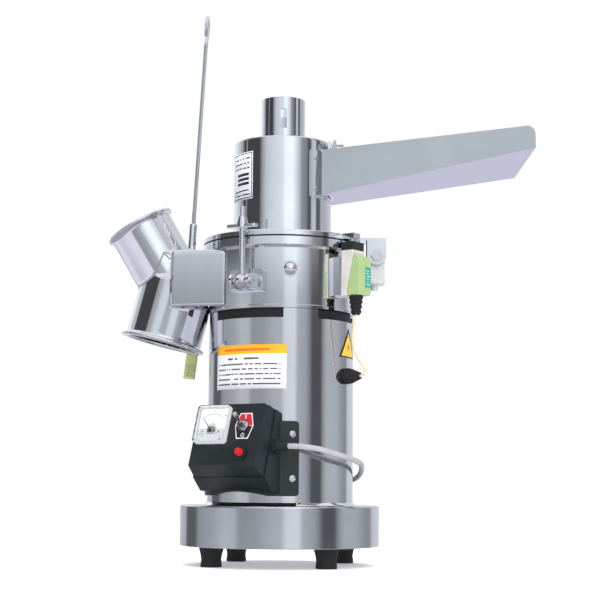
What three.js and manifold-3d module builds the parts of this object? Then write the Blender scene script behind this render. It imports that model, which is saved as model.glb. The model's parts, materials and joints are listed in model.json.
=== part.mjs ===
// Continuous-feed hammer mill, upright, vertical shaft. Millimetres, +Z up, floor at Z 0, the control
// box side facing -Y, the feed tray out along +X. Everything is drawn round the mill's vertical axis,
// and the finished group is moved so that the origin lies midway between the tray's and the outlet's ends.
import * as THREE from "three";
import { mergeVertices } from "three/addons/utils/BufferGeometryUtils.js";
import Module from "manifold-3d";

const wasm = await Module();
wasm.setup();

// Sizes
const AXIS_X = -45.4; // the mill's axis in the finished frame
const GAP = 0.3; // air between touching pieces
const FOOT_HEIGHT = 24;
const FOOT_CIRCLE = 100;
const FOOT_ANGLES = [35, 125, 215, 305];
const BASE_RADIUS = 125;
const BASE_TOP = 74;
const BODY_RADIUS = 91.7;
const HOUSING_TOP = 313.7;
const NOTCH_BOTTOM = 302;
const CHAMBER_FLOOR = 314;
const CHAMBER_TOP = 401;
const CHAMBER_BORE = 86;
const FLANGE_RADIUS = 101;
const LID_BOTTOM = 403;
const LID_TOP = 409.5;
const THROAT_RADIUS = 32;
const FEED_RADIUS = 63;
const FEED_TOP = 536.9;
const TUBE_RADIUS = 28.6;
const TUBE_TOP = 594.9;
const SHAFT_RADIUS = 9;
const PIN_CIRCLE = 52;
const HINGE_X = 121;
const HINGE_Z = 390;
const CLAMP_AZIMUTH = 25.5;
const CLAMP_RADIUS = 110;
const CLAMP_PIVOT_Z = 345;
const BOX_AZIMUTH = -34;
const SWITCH_AZIMUTH = 52.5;
const METER_X = -20.5; // the meter's middle line on the instrument panel
const GATE_SCREW = [-33, 530]; // Y and Z of the thumb screw
const CORD_RADIUS = 3.4;
const LEAD_RADIUS = 1.8;
const ROUND = 56; // sides of the large turned pieces

// Looks
const STEEL = { color: 0xc9ced4, metalness: 1, roughness: 0.22 };
const CAST = { color: 0xa9adb2, metalness: 0.9, roughness: 0.45 };
const BLACK = { color: 0x23292b, metalness: 0, roughness: 0.5 };
const RUBBER = { color: 0x151617, metalness: 0, roughness: 0.85 };
const CREAM = { color: 0xddd3c4, metalness: 0, roughness: 0.5 };
const GREEN = { color: 0x8fa878, metalness: 0, roughness: 0.5 };
const COPPER = { color: 0xb06a35, metalness: 0.6, roughness: 0.5 };
const RED = { color: 0xc0181c, metalness: 0, roughness: 0.35 };
const GREY = { color: 0xbfc0c6, metalness: 0, roughness: 0.6 };
const CLEAR = { color: 0xe8edf0, metalness: 0, roughness: 0.1 };

const mill = new THREE.Group();

// A closed three.js geometry as a solid that can be joined and cut.
function solid(geometry) {
  const loose = geometry.index ? geometry.toNonIndexed() : geometry;
  const bare = new THREE.BufferGeometry().setAttribute("position", loose.getAttribute("position"));
  const merged = mergeVertices(bare, 1e-4);
  const corners = merged.index.array;
  const kept = [];
  for (let i = 0; i < corners.length; i += 3) {
    const [a, b, c] = [corners[i], corners[i + 1], corners[i + 2]];
    if (a !== b && b !== c && c !== a) kept.push(a, b, c);
  }
  const vertProperties = new Float32Array(merged.attributes.position.array);
  const mesh = new wasm.Mesh({ numProp: 3, vertProperties, triVerts: new Uint32Array(kept) });
  return new wasm.Manifold(mesh);
}

function geometryOf(made) {
  const mesh = made.getMesh();
  return new THREE.BufferGeometry()
    .setAttribute("position", new THREE.BufferAttribute(mesh.vertProperties, 3))
    .setIndex(new THREE.BufferAttribute(mesh.triVerts, 1));
}

const join = (...pieces) => geometryOf(pieces.map(solid).reduce((a, b) => a.add(b)));
const cut = (body, ...tools) =>
  geometryOf(tools.map(solid).reduce((a, b) => a.subtract(b), solid(body)));
const common = (a, b) => geometryOf(solid(a).intersect(solid(b)));

function part(name, geometry, look) {
  const mesh = new THREE.Mesh(geometry, new THREE.MeshStandardMaterial(look));
  mesh.name = name;
  mill.add(mesh);
}

const radians = THREE.MathUtils.degToRad;

// The direction seen at an azimuth, 0 facing -Y and positive towards +X.
const outward = (azimuth) => [Math.sin(radians(azimuth)), -Math.cos(radians(azimuth))];

// A piece modelled facing -Y, turned to its azimuth.
const facing = (azimuth, geometry) => geometry.rotateZ(radians(azimuth));

// A solid of revolution about Z from [radius, height] points.
function turned(profile, segments = 32) {
  const ring = profile[0][0] > 0 ? [...profile, profile[0]] : profile;
  let area = 0;
  ring.forEach(([r, z], i) => {
    const [nextR, nextZ] = ring[(i + 1) % ring.length];
    area += r * nextZ - nextR * z;
  });
  const ordered = area > 0 ? ring : [...ring].reverse();
  const points = ordered.map(([r, z]) => new THREE.Vector2(r, z));
  return new THREE.LatheGeometry(points, segments).rotateX(Math.PI / 2);
}

const disc = (radius, low, high, segments = 28) =>
  turned([[0, low], [radius, low], [radius, high], [0, high]], segments);

const pipe = (inner, outer, low, high, segments = 36) =>
  turned([[inner, low], [outer, low], [outer, high], [inner, high]], segments);

function box(x0, x1, y0, y1, z0, z1) {
  return new THREE.BoxGeometry(x1 - x0, y1 - y0, z1 - z0)
    .translate((x0 + x1) / 2, (y0 + y1) / 2, (z0 + z1) / 2);
}

function outline(points) {
  const shape = new THREE.Shape(points.map(([u, v]) => new THREE.Vector2(u, v)));
  return shape;
}

const extruded = (points, depth) =>
  new THREE.ExtrudeGeometry(outline(points), { depth, bevelEnabled: false, curveSegments: 8 });

// Outlines drawn in XY, YZ or XZ and extruded along the remaining axis.
const slabZ = (points, z0, z1) => extruded(points, z1 - z0).translate(0, 0, z0);

function slabX(points, x0, x1) {
  const turn = new THREE.Matrix4().makeBasis(
    new THREE.Vector3(0, 1, 0), new THREE.Vector3(0, 0, 1), new THREE.Vector3(1, 0, 0));
  return extruded(points, x1 - x0).applyMatrix4(turn).translate(x0, 0, 0);
}

function slabY(points, y0, y1) {
  const turn = new THREE.Matrix4().makeBasis(
    new THREE.Vector3(1, 0, 0), new THREE.Vector3(0, 0, 1), new THREE.Vector3(0, -1, 0));
  return extruded(points, y1 - y0).applyMatrix4(turn).translate(0, y1, 0);
}

// A round bar between two points.
function bar(from, to, radius, sides = 16, endRadius = radius) {
  const a = new THREE.Vector3(...from);
  const b = new THREE.Vector3(...to);
  const along = b.clone().sub(a);
  const turn = new THREE.Quaternion().setFromUnitVectors(
    new THREE.Vector3(0, 1, 0), along.clone().normalize());
  return new THREE.CylinderGeometry(endRadius, radius, along.length(), sides)
    .applyQuaternion(turn).translate(...a.add(b).multiplyScalar(0.5).toArray());
}

function arcPoints(cx, cy, radius, from, to, steps) {
  return Array.from({ length: steps + 1 }, (_, i) => {
    const angle = radians(from + ((to - from) * i) / steps);
    return [cx + radius * Math.cos(angle), cy + radius * Math.sin(angle)];
  });
}

// A ring sector between two azimuths.
function sector(inner, outer, from, to, low, high, steps = 12) {
  const rim = (radius, a, b) => Array.from({ length: steps + 1 }, (_, i) => {
    const [x, y] = outward(a + ((b - a) * i) / steps);
    return [radius * x, radius * y];
  });
  return slabZ([...rim(outer, from, to), ...rim(inner, to, from)], low, high);
}

// A solid between two four-cornered faces, corners in matching order.
function loft(a, b) {
  const corners = [...a, ...b];
  const faces = [[0, 1, 2, 3], [7, 6, 5, 4], [0, 4, 5, 1], [1, 5, 6, 2], [2, 6, 7, 3], [3, 7, 4, 0]];
  const triangles = faces.flatMap(([p, q, r, s]) => [p, q, r, p, r, s]);
  const signed = triangles.reduce((sum, _, i) => {
    if (i % 3) return sum;
    const [p, q, r] = [0, 1, 2].map((k) => new THREE.Vector3(...corners[triangles[i + k]]));
    return sum + p.dot(q.cross(r));
  }, 0);
  const index = signed > 0 ? triangles : [...triangles].reverse();
  return new THREE.BufferGeometry()
    .setAttribute("position", new THREE.Float32BufferAttribute(corners.flat(), 3))
    .setIndex(index);
}

// A round tube along a smooth curve.
function swept(points, radius, steps, sides = 8) {
  const curve = new THREE.CatmullRomCurve3(points.map((p) => new THREE.Vector3(...p)));
  const round = new THREE.Shape(arcPoints(0, 0, radius, 0, 360 - 360 / sides, sides - 1)
    .map(([u, v]) => new THREE.Vector2(u, v)));
  return new THREE.ExtrudeGeometry(round, { steps, extrudePath: curve, bevelEnabled: false });
}

function hexPrism(across, low, high) {
  return slabZ(arcPoints(0, 0, across / Math.sqrt(3), 0, 300, 5), low, high);
}

function buildBase() {
  const shell = turned([[0, 66], [118, 66], [118, FOOT_HEIGHT], [124.4, FOOT_HEIGHT],
    [BASE_RADIUS, FOOT_HEIGHT + 0.8], [BASE_RADIUS, BASE_TOP - 2.2], [124.2, BASE_TOP - 0.6],
    [122.4, BASE_TOP], [0, BASE_TOP]], ROUND);
  const bosses = FOOT_ANGLES.map((angle) => disc(16, FOOT_HEIGHT, 67, 12)
    .translate(FOOT_CIRCLE * Math.cos(radians(angle)), FOOT_CIRCLE * Math.sin(radians(angle)), 0));
  part("base", join(shell, ...bosses), STEEL);
  FOOT_ANGLES.forEach((angle, i) => {
    const foot = turned([[0, 0], [12.4, 0], [13.2, 1.5], [12.2, 9], [13.2, 15], [15, 21.5],
      [15, FOOT_HEIGHT - GAP], [0, FOOT_HEIGHT - GAP]], 20)
      .translate(FOOT_CIRCLE * Math.cos(radians(angle)), FOOT_CIRCLE * Math.sin(radians(angle)), 0);
    part(`foot_${i + 1}`, foot, RUBBER);
  });
}

function buildMotor() {
  const tube = turned([[88.7, BASE_TOP + GAP], [96, BASE_TOP + GAP], [94, BASE_TOP + 1.6],
    [BODY_RADIUS, BASE_TOP + 4], [BODY_RADIUS, HOUSING_TOP], [88.7, HOUSING_TOP]], ROUND);
  const notches = [-59.7, 30.3, 120.3, 210.3]
    .map((from) => sector(60, 120, from, from + 62, NOTCH_BOTTOM, HOUSING_TOP + 5));
  part("motor_housing", cut(tube, ...notches), STEEL);
  part("lower_shield", turned([[12, 82], [24, 82], [24, 86], [88.4, 86], [88.4, 92],
    [16.3, 92], [16.3, 84], [12, 84]]), CAST);
  part("upper_shield", turned([[16.3, 286], [88.4, 286], [88.4, 292], [24, 292], [24, 296],
    [12, 296], [12, 294], [16.3, 294]]), CAST);
  part("lower_bearing", pipe(SHAFT_RADIUS + GAP, 16, 84.3, 91.7, 24), STEEL);
  part("upper_bearing", pipe(SHAFT_RADIUS + GAP, 16, 286.3, 293.7, 24), STEEL);
  buildStator();
  part("rotor_core", pipe(SHAFT_RADIUS + GAP, 54, 130, 240, 28), CAST);
  part("motor_shaft", turned([[0, 78], [8, 78], [SHAFT_RADIUS, 79], [SHAFT_RADIUS, 323.7],
    [8, 323.7], [8, 385], [7.2, 386], [0, 386]], 20), STEEL);
}

// Laminated ring with eight winding slots, the coil heads varnished onto both its faces.
function buildStator() {
  const bore = Array.from({ length: 8 }, (_, slot) => [
    ...arcPoints(0, 0, 55, slot * 45 - 16, slot * 45 + 16, 2),
    ...arcPoints(0, 0, 72, slot * 45 + 18, slot * 45 + 27, 1)]).flat();
  const shape = outline(arcPoints(0, 0, 88.4, 0, 350, 35));
  shape.holes.push(new THREE.Path(bore.map(([u, v]) => new THREE.Vector2(u, v))));
  const core = new THREE.ExtrudeGeometry(shape, { depth: 110, bevelEnabled: false }).translate(0, 0, 130);
  const head = (low, high) => turned([[60, low], [79, low], [82, low + 3], [82, high - 3], [79, high],
    [60, high]]);
  part("stator", join(core, head(108, 131), head(239, 262)), COPPER);
}

function buildChamber() {
  const casting = turned([[14, CHAMBER_FLOOR], [93, CHAMBER_FLOOR], [93, 317.6], [BODY_RADIUS, 318.4],
    [BODY_RADIUS, 388.5], [93.5, 391], [FLANGE_RADIUS, 391], [FLANGE_RADIUS, CHAMBER_TOP],
    [CHAMBER_BORE, CHAMBER_TOP], [CHAMBER_BORE, 320], [14, 320]], ROUND);
  const pad = facing(SWITCH_AZIMUTH, box(-12, 12, -103.2, -88, 332, 380));
  const bore = disc(CHAMBER_BORE, 320, 410, ROUND);
  const outlet = box(-110, -60, -50, 50, 322, 388);
  part("chamber", cut(join(casting, cut(pad, bore)), outlet), STEEL);
  buildLiner();
  buildScreen();
}

// Toothed breaker ring around the chamber, open on the outlet side.
function buildLiner() {
  const teeth = 26;
  const [from, to] = [-47, 227];
  const inner = [];
  for (let i = 0; i < teeth; i += 1) {
    const step = (to - from) / teeth;
    [[0.05, 82.5], [0.3, 79], [0.7, 79], [0.95, 82.5]].forEach(([share, radius]) => {
      const [x, y] = outward(from + (i + share) * step);
      inner.push([radius * x, radius * y]);
    });
  }
  const outer = Array.from({ length: 31 }, (_, i) => {
    const [x, y] = outward(from + ((to - from) * i) / 30);
    return [(CHAMBER_BORE - GAP) * x, (CHAMBER_BORE - GAP) * y];
  });
  part("toothed_liner", slabZ([...outer, ...inner.reverse()], 320.3, 398), CAST);
}

function buildScreen() {
  const sheet = sector(84.2, CHAMBER_BORE - GAP, -132, -48, 320.3, 398, 16);
  const slots = [];
  for (let column = 0; column < 7; column += 1) {
    for (let row = 0; row < 3; row += 1) {
      const slot = box(-4, 4, -92, -80, 326 + row * 21, 342 + row * 21);
      slots.push(facing(-122 + column * (64 / 6), slot));
    }
  }
  part("screen", cut(sheet, ...slots), STEEL);
}

function buildRotor() {
  const plate = disc(66, 330, 335, 40);
  const hub = disc(14, 324, 370, 24);
  const blades = [0, 60, 120, 180, 240, 300].map((turn) => box(12, 64, -1.5, 1.5, 322.5, 331)
    .rotateZ(radians(turn + 20)));
  const pinAngles = [45, 135, 225, 315];
  const pins = pinAngles.map((angle) => disc(4, 334, 376, 16).translate(...pinAt(angle)));
  const bore = disc(8 + GAP, 310, 380, 20);
  part("hammer_carrier", cut(join(plate, hub, ...blades, ...pins), bore), STEEL);
  const pinHoles = pinAngles.map((angle) => disc(4 + GAP, 360, 380, 16).translate(...pinAt(angle)));
  part("carrier_plate", cut(disc(66, 370.3, 374.3, 40), bore, ...pinHoles), STEEL);
  part("rotor_nut", cut(hexPrism(24, 374.6, 384), disc(8 + GAP, 370, 390, 20)), STEEL);
  pinAngles.forEach((angle, i) => part(`hammer_${i + 1}`, hammer(angle), CAST));
}

const pinAt = (angle) => [PIN_CIRCLE * Math.cos(radians(angle)), PIN_CIRCLE * Math.sin(radians(angle)), 0];

// A swinging hammer, drawn pointing out along +X and turned to its pin.
function hammer(angle) {
  const body = slabZ([[PIN_CIRCLE, 9], ...arcPoints(PIN_CIRCLE, 0, 9, 105, 255, 6), [PIN_CIRCLE, -9],
    [77, -9], [77, 9]], 336, 369);
  const hole = disc(4 + GAP, 330, 375, 16).translate(PIN_CIRCLE, 0, 0);
  return cut(body, hole).rotateZ(radians(angle));
}

// Two welded tubes on a flared square mouth: one rises to the air bag, one drops to the product bag.
function buildOutlet() {
  const rise = { at: [-184, 0, 430.5], along: [0.5, 0, -0.866] };
  const drop = { at: [-151.6, 0, 275.8], along: [0.2447, 0, 0.9696] };
  const point = ({ at, along }, distance) => at.map((value, i) => value + along[i] * distance);
  const tube = (leg, radius, from, to) => bar(point(leg, from), point(leg, to), radius, 32);
  const section = (x, half, low, high) => [[x, -half, low], [x, half, low], [x, half, high],
    [x, -half, high]];
  const mouth = loft(section(-137, 50, 319.5, 390.7), section(-62, 63, 319.5, 390.7));
  const passage = loft(section(-135, 48.3, 321.5, 388.7), section(-60, 61.3, 321.5, 388.7));
  const lean = radians(3);
  const foot = [-113.3, -42, 388];
  const up = (height) => [foot[0] + height * Math.sin(lean), foot[1], foot[2] + height * Math.cos(lean)];
  const outside = join(mouth, tube(rise, 41, 0, 100), tube(rise, 45.4, 0, 5),
    tube(drop, 48.3, 0, 80), tube(drop, 54, 0, 5), bar(up(0), up(38), 5.2, 16));
  const inside = join(passage, tube(rise, 39, -5, 98), tube(drop, 46.3, -5, 78));
  part("outlet_duct", cut(outside, inside, disc(BODY_RADIUS + GAP, 300, 392, ROUND),
    disc(93 + GAP, 300, 318.7, ROUND), disc(93.8, 388.2, 392, ROUND), bar(up(6), up(45), 3, 16)), STEEL);
  const eye = arcPoints(0, 0, 13, -75, 245, 14).map(([side, height]) => {
    const [x, , z] = up(293 + height);
    return [x, foot[1] + side, z];
  });
  const stem = [6.5, 40, 90, 150, 210, 250, 268].map(up);
  part("bag_rod", swept([...stem, ...eye], 2.6, 44, 8), STEEL);
}

function buildLid() {
  const plate = turned([[THROAT_RADIUS, LID_BOTTOM], [FLANGE_RADIUS, LID_BOTTOM],
    [FLANGE_RADIUS, LID_TOP - 1], [FLANGE_RADIUS - 1, LID_TOP], [THROAT_RADIUS, LID_TOP]], ROUND);
  part("lid_plate", join(plate, facing(SWITCH_AZIMUTH, box(-7, 7, -118, -95, LID_BOTTOM, LID_TOP))), STEEL);
  part("lid_gasket", pipe(88, 100, CHAMBER_TOP + GAP, LID_BOTTOM - GAP, 40), RUBBER);
  const shell = turned([[FEED_RADIUS - 2, LID_TOP + GAP], [FEED_RADIUS, LID_TOP + GAP],
    [FEED_RADIUS, FEED_TOP - 4], [FEED_RADIUS - 1.2, FEED_TOP - 1.2], [FEED_RADIUS - 4, FEED_TOP],
    [24, FEED_TOP], [24, FEED_TOP - 2], [FEED_RADIUS - 2, FEED_TOP - 2]], 48);
  part("feed_cylinder", cut(shell, box(30, 80, -35, 35, 465, 521)), STEEL);
  const tube = pipe(TUBE_RADIUS - 2, TUBE_RADIUS, FEED_TOP + GAP, TUBE_TOP, 40);
  const slot = slabY([[-4, 554], [4, 554], ...arcPoints(0, 575.8, 4, 0, 180, 8)], -40, 0);
  part("air_tube", cut(tube, facing(2.6, slot)), STEEL);
}

// Flared sheet tray with tabs round the feed cylinder and a bridge over the gate.
function buildTray() {
  const section = (x, inset, lift, raise) => {
    const share = (x - 48.7) / (314 - 48.7);
    const half = 40.5 + 49.5 * share - inset;
    const low = 463.8 + 51.7 * share + lift;
    const high = 522.3 + 22.1 * share + raise;
    return [[x, -half, low], [x, half, low], [x, half, high], [x, -half, high]];
  };
  const shell = cut(loft(section(30, 0, 0, 0), section(314, 0, 0, 0)),
    loft(section(20, 1.6, 1.6, 40), section(330, 1.6, 1.6, 40)));
  const corner = cut(box(301, 320, -100, 100, 531, 560), bar([302, -110, 532.2], [302, 110, 532.2], 12, 32));
  const tabs = [[34.5, 55], [125, 145.5]].map(([from, to]) =>
    sector(FEED_RADIUS + GAP, FEED_RADIUS + 1.9, from, to, 461, 520, 6));
  const [screwY, screwZ] = GATE_SCREW;
  const bridge = cut(box(64.2, 66.8, -43.2, 43.2, 519, 534),
    bar([60, screwY, screwZ], [80, screwY, screwZ], 2.3, 16));
  const tray = cut(shell, corner, disc(FEED_RADIUS + GAP, 440, 545, 48));
  part("feed_tray", join(tray, ...tabs, bridge), STEEL);
  const slot = box(60, 80, screwY - 2.5, screwY + 2.5, 497.5, screwZ + 2.5);
  part("feed_gate", cut(box(67.1, 68.6, -41.6, 41.6, 470.6, 535), slot), STEEL);
  const wing = slabY([[58.2, 524], [63.9, 527.6], [63.9, 532.4], [58.2, 536]], screwY - 1.5, screwY + 1.5);
  part("gate_screw", join(wing, bar([62, screwY, screwZ], [78, screwY, screwZ], 1.9, 12)), STEEL);
}

function buildHinge() {
  const bore = bar([HINGE_X, -40, HINGE_Z], [HINGE_X, 40, HINGE_Z], 4 + GAP, 20);
  const ear = [[109, LID_TOP + 1], [109, HINGE_Z], ...arcPoints(HINGE_X, HINGE_Z, 12, 180, 360, 12),
    [133, HINGE_Z], [133, LID_TOP + 1]];
  const strap = box(82, 133, -20, 20, LID_TOP + GAP, LID_TOP + 3.3);
  const clearance = disc(FEED_RADIUS + GAP, 400, 420, 48);
  part("hinge_strap", cut(join(strap, slabY(ear, -20, -15), slabY(ear, 15, 20)), bore, clearance), STEEL);
  const knuckle = [[88, 355], [113, 355], [131.5, 355], [131.5, HINGE_Z],
    ...arcPoints(HINGE_X, HINGE_Z, 10.5, 0, 180, 8), [110.5, 378], [88, 378]];
  const stop = disc(5, 347.5, 356, 16).translate(119, 0, 0);
  part("hinge_block", cut(join(slabY(knuckle, -14.7, 14.7), stop), bore,
    disc(BODY_RADIUS + GAP, 340, 385, ROUND)), CREAM);
  const head = hexPrism(13, 0, 5.5).rotateX(Math.PI / 2);
  const bolt = join(bar([HINGE_X, -21, HINGE_Z], [HINGE_X, 21, HINGE_Z], 4, 20),
    head.clone().translate(HINGE_X, -20.4, HINGE_Z), head.clone().translate(HINGE_X, 25.9, HINGE_Z));
  part("hinge_bolt", bolt, STEEL);
}

// A bracket, an eyed swing bolt and its wing nut, drawn facing -Y and turned to the azimuth.
function buildClamp(side, azimuth) {
  const place = (geometry) => facing(azimuth, geometry);
  const y = -CLAMP_RADIUS;
  const z = CLAMP_PIVOT_Z;
  const plate = slabY([[-23, 336], [-21, 334], [21, 334], [23, 336], [23, 358], [20, 361], [-20, 361],
    [-23, 358]], -97.5, -84);
  const ear = [[-94, 335.5], ...arcPoints(y, z, 9.5, 270, 90, 10), [-94, 354.5]];
  const pin = join(bar([-15, y, z], [15, y, z], 3, 14), bar([-14.6, y, z], [-12.6, y, z], 5.2, 14),
    bar([12.6, y, z], [14.6, y, z], 5.2, 14));
  const bracket = join(cut(plate, disc(BODY_RADIUS + GAP, 320, 370, ROUND)),
    slabX(ear, -13, -9.6), slabX(ear, 9.6, 13), pin);
  part(`clamp_bracket_${side}`, place(bracket), STEEL);
  const eye = new THREE.SphereGeometry(9.2, 20, 12).translate(0, y, z);
  const rod = disc(3.5, z + 6, 437, 14).translate(0, y, 0);
  const bolt = cut(join(eye, rod), bar([-12, y, z], [12, y, z], 3 + GAP, 14));
  part(`swing_bolt_${side}`, place(bolt), STEEL);
  const hub = turned([[3.5 + GAP, 410.6], [7.4, 410.6], [7.4, 415], [5.2, 424], [3.5 + GAP, 424]], 20)
    .translate(0, y, 0);
  const wing = slabZ([...arcPoints(15.5, 0, 5.5, -80, 80, 8), ...arcPoints(-15.5, 0, 5.5, 100, 260, 8)],
    411.2, 414.4);
  const wings = cut(wing.translate(0, y, 0), disc(5, 400, 430, 16).translate(0, y, 0));
  part(`wing_nut_${side}`, place(join(hub, wings)), STEEL);
}

// The leaning instrument panel: X to the right, Y up the slope, Z out of it.
const PANEL_SLOPE = Math.atan2(22.5, 74);
const onPanel = (geometry) => facing(BOX_AZIMUTH, geometry
  .rotateX(Math.PI / 2 - PANEL_SLOPE).translate(0, -114.25, 159));

function buildControlBox() {
  const front = (half, y) => [[-half, -125.5 + y, 122], [half, -125.5 + y, 122], [half, -103 + y, 196],
    [-half, -103 + y, 196]];
  const rear = [[-52, -109.4, 108.7], [52, -109.4, 108.7], [52, -87, 189.5], [-52, -87, 189.5]];
  const innerFront = [[-45, -121.5, 124.5], [45, -121.5, 124.5], [45, -101, 192], [-45, -101, 192]];
  const innerRear = [[-49, -105, 108.6], [49, -105, 108.6], [49, -83, 187.5], [-49, -83, 187.5]];
  const cover = cut(facing(BOX_AZIMUTH, loft(front(48.5, 0), rear)),
    facing(BOX_AZIMUTH, loft(innerFront, innerRear)),
    onPanel(disc(19.4, -20, 20, 32).translate(METER_X, 11.5, 0)),
    onPanel(disc(5.8, -20, 20, 20).translate(24.5, 10.5, 0)),
    onPanel(disc(5.3, -20, 20, 20).translate(27.5, -23.5, 0)),
    disc(BODY_RADIUS + GAP, 80, 200, ROUND));
  const collar = cut(disc(8.4, -1, 3.4, 24), disc(5.3, -20, 20, 20)).translate(27.5, -23.5, 0);
  part("control_cover", join(cover, onPanel(collar)), BLACK);
  const side = slabX([[-86.7, 189.1], [-109, 108.2], [-94, 92], [-60, 88], [-60, 180]], -54, 54);
  const corner = (x, z, from) => arcPoints(0, 0, 1, from, from + 90, 5)
    .map(([u, v]) => [x + 5 * u, z + 8 * v]);
  const plate = slabY([...corner(66, 94, 270), ...corner(66, 168, 0), ...corner(-66, 168, 90),
    ...corner(-66, 94, 180)], -100, -50);
  const flange = common(sector(BODY_RADIUS + GAP, BODY_RADIUS + 3.3, -48.6, 48.6, 84, 178, 24), plate);
  const room = cut(slabX([[-80, 182.5], [-120, 190], [-120, 108], [-104.5, 108], [-92, 95], [-60, 92],
    [-60, 177]], -51, 51), disc(BODY_RADIUS + 3.3, 80, 200, ROUND));
  const hollow = cut(join(side, flange), room, disc(BODY_RADIUS + GAP, 80, 200, ROUND),
    bar([48, -90, 145], [60, -90, 145], 6.3, 20), bar([0, -130, -84], [0, -50, -84], 175, 96));
  part("control_base", facing(BOX_AZIMUTH, hollow), BLACK);
  buildInstruments();
}

function buildInstruments() {
  const onMeter = (geometry) => onPanel(geometry.translate(METER_X, 0, 0));
  const bezel = slabZ([[-23, -9.5], [-20.5, -12], [20.5, -12], [23, -9.5], [23, 32.5], [20.5, 35],
    [-20.5, 35], [-23, 32.5]], GAP, 6);
  const barrel = disc(19, -12, 1, 32).translate(0, 11.5, 0);
  const dialRoom = box(-20, 20, -1, 32, 3.5, 10);
  part("ammeter_case", onMeter(cut(join(bezel, barrel), dialRoom)), CLEAR);
  const glass = slabZ([[-23, -9.5], [-20.5, -12], [20.5, -12], [23, -9.5], [23, 32.5], [21.2, 34.3],
    [-21.2, 34.3], [-23, 32.5]], 6 + GAP, 10);
  part("ammeter_window", onMeter(cut(glass, box(-19, 19, 0, 31, 5, 8))), CLEAR);
  const pointer = slabZ([[-0.5, 0], [0.5, 0], [0.2, 21.5], [-0.2, 21.5]], 4.6, 5.2).rotateZ(radians(42));
  part("ammeter_needle", onMeter(join(disc(1.6, 4, 6.4, 10), pointer).translate(0, 3.5, 0)), BLACK);
  const bushing = cut(join(disc(5.5, -12, 8, 20), hexPrism(14, GAP, 3.2)), disc(3.3, 3, 12, 16));
  part("toggle_bushing", onPanel(bushing.translate(24.5, 10.5, 0)), STEEL);
  const lever = turned([[0, 0], [1.6, 0], [1.6, 4], [1.7, 8], [2.9, 18], [2.9, 19.5], [2, 21], [0, 21.6]], 14)
    .rotateX(radians(-22)).translate(24.5, 10.5, 4.5);
  part("toggle_lever", onPanel(lever), STEEL);
  const button = turned([[0, -3], [4.9, -3], [4.9, 4.8], [4.4, 5.4], [4.4, 7.6], [3.8, 9.4],
    [2.6, 10.7], [0, 11.4]], 20);
  part("reset_button", onPanel(button.translate(27.5, -23.5, 0)), RED);
}

// The mains lead leaves the gland, goes round the body and is put away in a tied hank of four turns on
// the base's rear ledge. It enters the hank at the top, and the plug lies past the hank's other end.
const HANK_CENTRE = [33.5, 116.8];
const HANK_TURN = 164;
const HANK_LENGTH = 112;
const HANK_WIDTH = 48;
const HANK_HEIGHT = 34.6;

function buildPowerCord() {
  const gland = join(bar([46, -90, 145], [56, -90, 145], 6, 20), bar([54.3, -90, 145], [60, -90, 145], 9, 6),
    bar([59, -90, 145], [75, -90, 145], 6.6, 20, 5));
  const throat = bar([40, -90, 145], [80, -90, 145], CORD_RADIUS + 0.5, 12);
  part("cord_gland", facing(BOX_AZIMUTH, cut(gland, throat)), BLACK);
  const fromBox = (along) => new THREE.Vector3(along, -90, 145)
    .applyAxisAngle(new THREE.Vector3(0, 0, 1), radians(BOX_AZIMUTH)).toArray();
  const route = [...[48, 55, 62, 69, 76].map(fromBox), [22.8, -121.6, 144.8], [33.9, -122.4, 143.8],
    [44.6, -119.3, 142.2], [57, -111.8, 139.5], [75, -97, 134.5], [92, -71, 129.5],
    [100.5, -40, 125.5], [102.8, -5, 120], [102.3, 25, 114.5], [98.5, 46, 109.5], [92.5, 62, 106.5],
    [84.6, 74.4, 105.2], [75.2, 83.6, 105.1]];
  part("power_cord", swept(route, CORD_RADIUS, 60, 8), GREY);
  const half = (HANK_LENGTH - HANK_WIDTH) / 2;
  const bundle = slabZ([...arcPoints(half, 0, HANK_WIDTH / 2, -90, 90, 12),
    ...arcPoints(-half, 0, HANK_WIDTH / 2, 90, 270, 12)], 0, HANK_HEIGHT);
  part("cord_hank", bundle.rotateZ(radians(HANK_TURN))
    .translate(...HANK_CENTRE, BASE_TOP + GAP), GREY);
  buildPlug();
}

// Three-pin plug, drawn along +X from its lead end, with a bent strain relief.
function buildPlug() {
  const body = slabZ([[0, -9], [6, -16], [32, -16], [35, -13], [35, 13], [32, 16], [6, 16], [0, 9]], 0, 20);
  const earth = box(34, 53, -1, 1, 12, 16);
  const pins = [-6.5, 6.5].map((y) => box(34, 51, y - 1, y + 1, 4, 9));
  const relief = swept([[-20.5, 6.6, 4.6], [-13.5, 3.4, 5.4], [-6.8, 1.1, 7.9], [1, 0, 10]], 4.3, 10, 12);
  part("power_plug", join(body, relief, earth, ...pins).rotateZ(radians(200))
    .translate(-41, 109.7, BASE_TOP + GAP), BLACK);
}

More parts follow.
